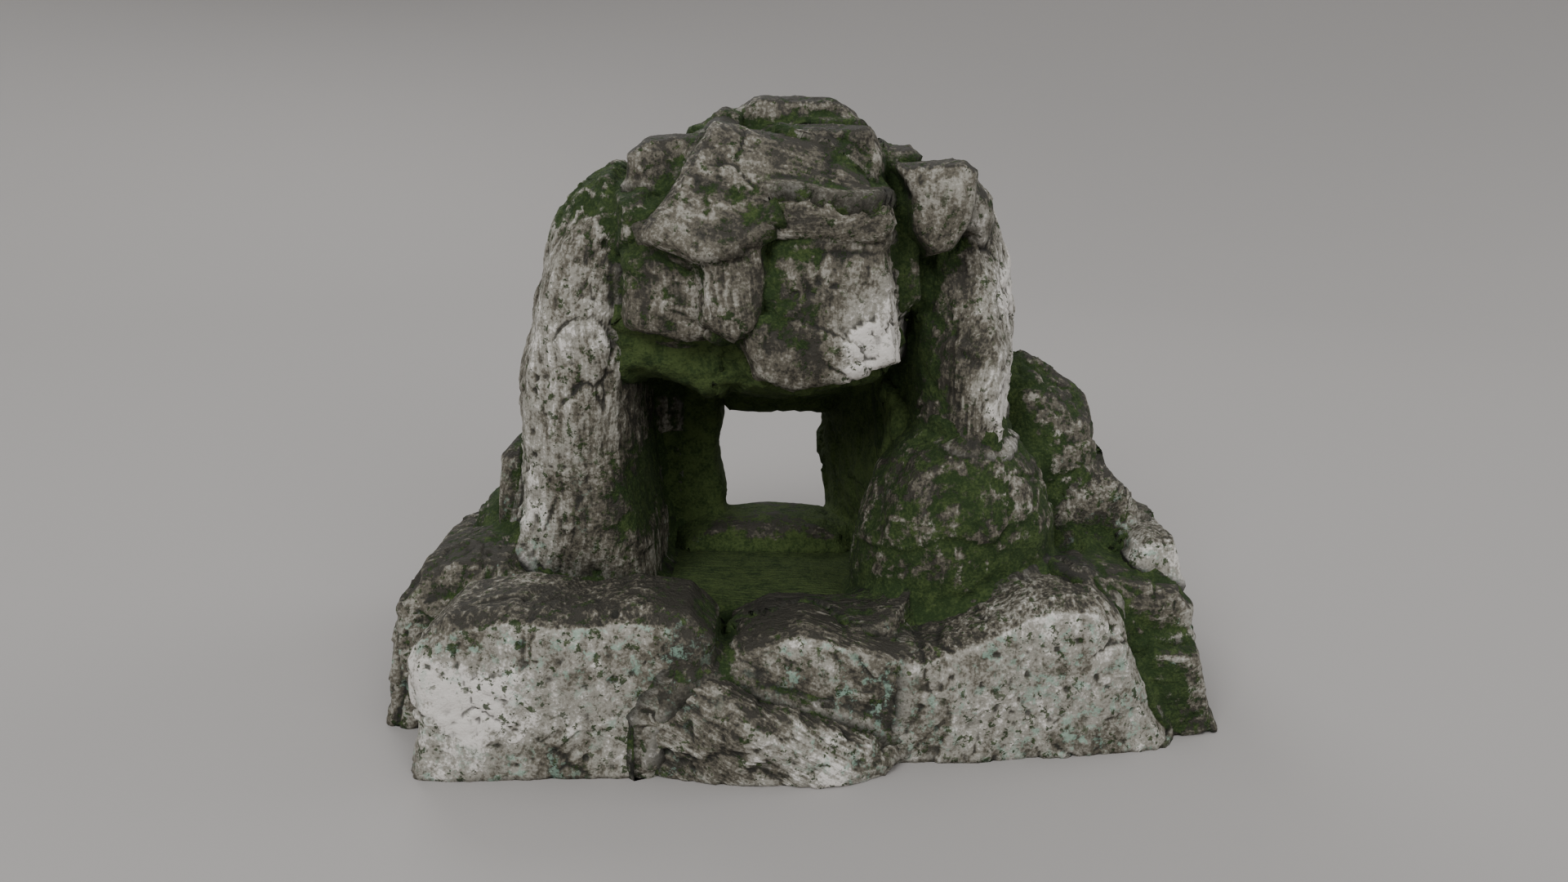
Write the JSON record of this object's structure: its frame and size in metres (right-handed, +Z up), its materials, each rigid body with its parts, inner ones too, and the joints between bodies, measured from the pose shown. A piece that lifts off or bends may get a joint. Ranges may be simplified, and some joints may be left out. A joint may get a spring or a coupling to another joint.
{
  "type": "resin cave ornament",
  "caption": "Free-standing aquarium or pond ornament: stacked rock castings forming an arch with a swim-through cave passage from front to back.",
  "frame": {"origin": "on the floor, under the centre of the ornament's bounding box", "axes": "+X to the right seen from the cave mouth, +Y from the cave mouth towards the back, +Z up"},
  "size_m": [0.3026, 0.168, 0.22],
  "materials": {
    "pale_rock": "matt cast resin painted as bleached limestone, with dark pits and moss specks",
    "weathered_rock": "matt cast resin painted as weathered grey-brown limestone",
    "mossy_rock": "matt cast resin painted as rock under thin moss",
    "dark_rock": "matt cast resin painted as dark ribbed rock",
    "cave_moss": "matt cast resin painted deep moss green"
  },
  "bodies": {
    "root": {"base_plinth": "weathered_rock", "front_centre_boulder": "weathered_rock", "front_left_slab": "pale_rock", "front_middle_block": "weathered_rock", "front_right_slab": "pale_rock", "left_outer_rock": "weathered_rock", "right_outer_lower_rock": "mossy_rock", "left_rear_rock": "weathered_rock", "right_rear_rock": "mossy_rock", "rear_centre_slab": "weathered_rock", "right_outer_middle_rock": "mossy_rock", "right_pale_block": "pale_rock", "left_pillar": "pale_rock", "mouth_boulder": "mossy_rock", "right_pillar": "pale_rock", "right_inner_wall": "cave_moss", "rear_left_jamb": "cave_moss", "right_shoulder_boulder": "mossy_rock", "right_step_rock": "weathered_rock", "left_pillar_slab": "weathered_rock", "left_step_rock": "mossy_rock", "cave_floor_slab": "cave_moss", "cave_sill": "cave_moss", "threshold_rock": "dark_rock", "left_ledge_rock": "dark_rock", "right_ledge_rock": "dark_rock", "lintel_rib": "weathered_rock", "lintel_right_block": "pale_rock", "lintel_left_block": "weathered_rock", "ceiling_right_rock": "cave_moss", "ceiling_left_rock": "cave_moss", "rear_lintel": "cave_moss", "brow_ledge": "weathered_rock", "brow_slab": "weathered_rock", "right_pillar_cap": "pale_rock", "right_pillar_top": "pale_rock", "crown_left_wedge": "mossy_rock", "crown_left_block": "weathered_rock", "crown_right_wedge": "weathered_rock", "crown_right_outer_rock": "weathered_rock", "right_infill_rock": "mossy_rock", "crown_top_left_rock": "mossy_rock", "crown_top_block": "weathered_rock", "rear_left_arch": "weathered_rock", "rear_right_arch": "mossy_rock", "crown_rear_rock": "mossy_rock"}
  },
  "joints": []
}
